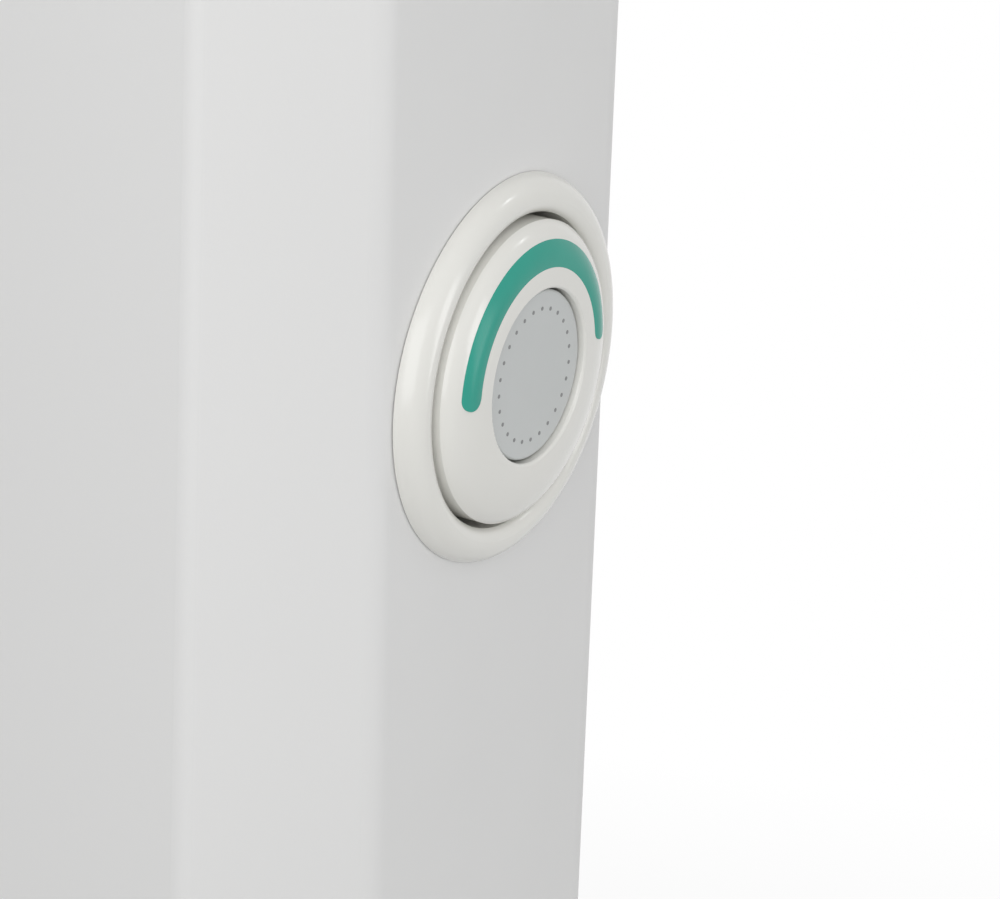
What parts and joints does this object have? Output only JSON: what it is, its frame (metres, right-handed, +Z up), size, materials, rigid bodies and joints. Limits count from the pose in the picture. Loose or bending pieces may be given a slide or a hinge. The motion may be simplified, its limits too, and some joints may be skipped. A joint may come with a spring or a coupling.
{
  "type": "oil-filled radiator",
  "caption": "Oil-filled column radiator with a tall control housing, a round dial round a push button, rocker switches, a carrying handle and swivel casters.",
  "frame": {"origin": "floor under the middle of the whole radiator", "axes": "+X towards the control housing, Y across the columns, +Z up"},
  "size_m": [0.3596, 0.23, 0.6412],
  "materials": {
    "column_enamel": "satin white enamel",
    "housing_white": "satin white moulding",
    "control_white": "warm white, polished",
    "arc_teal": "polished",
    "button_grey": "satin",
    "handle_grey": "fine grain",
    "switch_grey": "semi gloss",
    "lamp_amber": "clear lens",
    "caster_grey": "fine grain",
    "tyre_dark": "matt",
    "plated_steel": "zinc plated",
    "element_steel": "annealed sheath",
    "terminal_brass": "plain",
    "phenolic_dark": "moulded",
    "gland_rubber": "matt"
  },
  "bodies": {
    "radiator": {"back_plate": "plated_steel", "bottom_plate": "housing_white", "cable_gland": "gland_rubber", "control_bracket": "plated_steel", "cover_screws": "plated_steel", "dial_bezel": "control_white", "element_flange": "plated_steel", "element_terminals": "terminal_brass", "fin_1": "column_enamel", "fin_2": "column_enamel", "fin_3": "column_enamel", "fin_4": "column_enamel", "fin_5": "column_enamel", "fin_6": "column_enamel", "fin_7": "column_enamel", "front_cover": "housing_white", "front_foot_rail": "housing_white", "front_u_bolt": "plated_steel", "handle_grip": "handle_grey", "handle_post_left": "housing_white", "handle_post_right": "housing_white", "handle_screws": "plated_steel", "heating_element": "element_steel", "oil_filler_plug": "terminal_brass", "pilot_lamp": "lamp_amber", "push_switch": "phenolic_dark", "rear_foot_rail": "housing_white", "rear_u_bolt": "plated_steel", "rocker_left_body": "phenolic_dark", "rocker_right_body": "phenolic_dark", "terminal_block": "phenolic_dark", "thermal_cutout": "plated_steel", "thermostat_body": "phenolic_dark", "top_cap": "housing_white", "wing_nuts": "plated_steel"},
    "dial": {"control_dial": "control_white", "dial_arc": "arc_teal"},
    "button": {"centre_button": "button_grey"},
    "rocker_left": {"rocker_left": "switch_grey"},
    "rocker_right": {"rocker_right": "switch_grey"},
    "caster_front_left": {"caster_fork_front_left": "caster_grey", "caster_stem_front_left": "plated_steel", "caster_axle_front_left": "plated_steel"},
    "wheel_front_left": {"caster_wheel_front_left": "tyre_dark"},
    "caster_front_right": {"caster_fork_front_right": "caster_grey", "caster_stem_front_right": "plated_steel", "caster_axle_front_right": "plated_steel"},
    "wheel_front_right": {"caster_wheel_front_right": "tyre_dark"},
    "caster_rear_left": {"caster_fork_rear_left": "caster_grey", "caster_stem_rear_left": "plated_steel", "caster_axle_rear_left": "plated_steel"},
    "wheel_rear_left": {"caster_wheel_rear_left": "tyre_dark"},
    "caster_rear_right": {"caster_fork_rear_right": "caster_grey", "caster_stem_rear_right": "plated_steel", "caster_axle_rear_right": "plated_steel"},
    "wheel_rear_right": {"caster_wheel_rear_right": "tyre_dark"}
  },
  "joints": [
    {"name": "dial_turn", "type": "hinge", "parent": "radiator", "child": "dial", "pos_m": [0.17097, 0, 0.468], "axis": [1, 0, 0], "range_deg": [-135, 135]},
    {"name": "button_press", "type": "slide", "parent": "radiator", "child": "button", "axis": [-1, 0, 0], "range_m": [0, 0.0025], "stiffness_N_per_m": 600},
    {"name": "rocker_left_tip", "type": "hinge", "parent": "radiator", "child": "rocker_left", "pos_m": [0.13298, 0.022, 0.5914], "axis": [0, -1, 0], "range_deg": [0, 20]},
    {"name": "rocker_right_tip", "type": "hinge", "parent": "radiator", "child": "rocker_right", "pos_m": [0.13298, -0.022, 0.5914], "axis": [0, -1, 0], "range_deg": [0, 20]},
    {"name": "caster_front_left_swivel", "type": "hinge", "parent": "radiator", "child": "caster_front_left", "pos_m": [0.04417, 0.092, 0.0435], "axis": [0, 0, 1], "continuous": true},
    {"name": "wheel_front_left_roll", "type": "hinge", "parent": "caster_front_left", "child": "wheel_front_left", "pos_m": [0.03018, 0.092, 0.02], "axis": [0, 1, 0], "continuous": true},
    {"name": "caster_front_right_swivel", "type": "hinge", "parent": "radiator", "child": "caster_front_right", "pos_m": [0.04417, -0.092, 0.0435], "axis": [0, 0, 1], "continuous": true},
    {"name": "wheel_front_right_roll", "type": "hinge", "parent": "caster_front_right", "child": "wheel_front_right", "pos_m": [0.03018, -0.092, 0.02], "axis": [0, 1, 0], "continuous": true},
    {"name": "caster_rear_left_swivel", "type": "hinge", "parent": "radiator", "child": "caster_rear_left", "pos_m": [-0.14583, 0.092, 0.0435], "axis": [0, 0, 1], "continuous": true},
    {"name": "wheel_rear_left_roll", "type": "hinge", "parent": "caster_rear_left", "child": "wheel_rear_left", "pos_m": [-0.15982, 0.092, 0.02], "axis": [0, 1, 0], "continuous": true},
    {"name": "caster_rear_right_swivel", "type": "hinge", "parent": "radiator", "child": "caster_rear_right", "pos_m": [-0.14583, -0.092, 0.0435], "axis": [0, 0, 1], "continuous": true},
    {"name": "wheel_rear_right_roll", "type": "hinge", "parent": "caster_rear_right", "child": "wheel_rear_right", "pos_m": [-0.15982, -0.092, 0.02], "axis": [0, 1, 0], "continuous": true}
  ]
}
